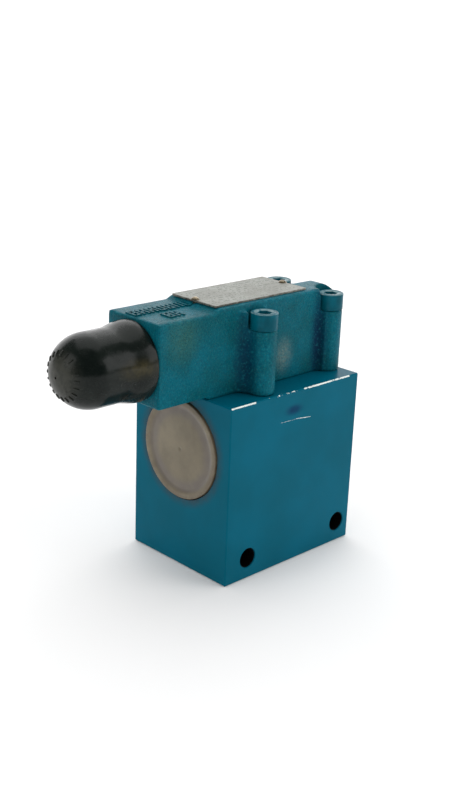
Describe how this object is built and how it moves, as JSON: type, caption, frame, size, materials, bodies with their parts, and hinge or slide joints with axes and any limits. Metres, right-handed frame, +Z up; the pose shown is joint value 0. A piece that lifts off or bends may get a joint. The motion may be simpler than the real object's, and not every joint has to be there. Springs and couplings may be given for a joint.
{
  "type": "pilot-operated pressure valve",
  "caption": "Line-mounted hydraulic pressure valve: square block with large plugged end ports under a cast pilot valve with a rubber-capped screw adjuster.",
  "frame": {"origin": "centre of the block's bottom face", "axes": "+X along the pilot valve, away from the rubber cap; +Y from the front to the back; +Z up"},
  "size_m": [0.1671, 0.067, 0.1345],
  "materials": {
    "painted_block": "satin enamel over a machined steel block",
    "painted_casting": "satin enamel over sand-cast iron",
    "painted_fastener": "satin enamel over steel",
    "nameplate_metal": "worn, matt",
    "drive_pin": "dull, oxidised",
    "bare_steel": "turned",
    "ground_steel": "hardened and ground",
    "spring_steel": "drawn wire",
    "zinc_steel": "zinc plated",
    "brass_jet": "turned",
    "black_rubber": "moulded, slightly glossy",
    "seal_rubber": "moulded",
    "backup_plastic": "smooth",
    "cover_plastic": "aged translucent polyethylene"
  },
  "bodies": {
    "valve_body": {"main_block": "painted_block", "main_sleeve": "ground_steel", "sleeve_upper_seal": "seal_rubber", "sleeve_lower_seal": "seal_rubber", "sleeve_backup_ring": "backup_plastic", "cartridge_face_seal": "seal_rubber", "drain_face_seal": "seal_rubber", "pilot_body": "painted_casting", "socket_head_screws": "painted_fastener", "nameplate": "nameplate_metal", "nameplate_pins": "drive_pin", "control_jet": "brass_jet", "pilot_seat": "ground_steel", "adjuster_sleeve": "zinc_steel", "adjuster_sleeve_seal": "seal_rubber", "end_plug": "painted_fastener", "end_plug_seal": "seal_rubber", "vent_plug": "painted_fastener", "vent_plug_seal": "bare_steel", "main_spring": "spring_steel", "pilot_spring": "spring_steel"},
    "main_poppet": {"main_poppet": "ground_steel", "poppet_jet": "brass_jet"},
    "pilot_poppet": {"pilot_poppet": "ground_steel"},
    "spring_plate": {"spring_plate": "ground_steel", "spring_plate_seal": "seal_rubber"},
    "adjusting_screw": {"adjusting_screw": "zinc_steel"},
    "lock_washer": {"lock_washer": "zinc_steel"},
    "lock_nut": {"lock_nut": "zinc_steel"},
    "protective_cap": {"protective_cap": "black_rubber"},
    "outlet_port_plug": {"outlet_port_plug": "cover_plastic"},
    "inlet_port_plug": {"inlet_port_plug": "cover_plastic"}
  },
  "joints": [
    {"name": "main_poppet_lift", "type": "slide", "parent": "valve_body", "child": "main_poppet", "axis": [0, 0, 1], "range_m": [0, 0.006], "stiffness_N_per_m": 1500, "springref_m": -0.008, "deforming": ["main_spring"]},
    {"name": "pilot_poppet_lift", "type": "slide", "parent": "valve_body", "child": "pilot_poppet", "axis": [-1, 0, 0], "range_m": [0, 0.0012], "stiffness_N_per_m": 4000, "springref_m": -0.002, "deforming": ["pilot_spring"]},
    {"name": "preload_travel", "type": "slide", "parent": "valve_body", "child": "spring_plate", "axis": [1, 0, 0], "range_m": [0, 0.006], "deforming": ["pilot_spring"]},
    {"name": "adjuster_turn", "type": "hinge", "parent": "spring_plate", "child": "adjusting_screw", "pos_m": [-0.075, 0, 0.1107], "axis": [1, 0, 0], "range_deg": [0, 1440]},
    {"name": "lock_nut_travel", "type": "slide", "parent": "valve_body", "child": "lock_washer", "axis": [-1, 0, 0], "range_m": [0, 0.003]},
    {"name": "lock_nut_turn", "type": "hinge", "parent": "lock_washer", "child": "lock_nut", "pos_m": [-0.075, 0, 0.1107], "axis": [-1, 0, 0], "range_deg": [0, 720]},
    {"name": "cap_pull", "type": "slide", "parent": "valve_body", "child": "protective_cap", "axis": [-1, 0, 0], "range_m": [0, 0.045]},
    {"name": "outlet_plug_pull", "type": "slide", "parent": "valve_body", "child": "outlet_port_plug", "axis": [-1, 0, 0], "range_m": [0, 0.03]},
    {"name": "inlet_plug_pull", "type": "slide", "parent": "valve_body", "child": "inlet_port_plug", "axis": [1, 0, 0], "range_m": [0, 0.03]}
  ],
  "couplings": [
    {"joint": "adjuster_turn", "follows": "preload_travel", "rad_per_m": 4188.8},
    {"joint": "lock_nut_turn", "follows": "lock_nut_travel", "rad_per_m": 4188.8}
  ]
}
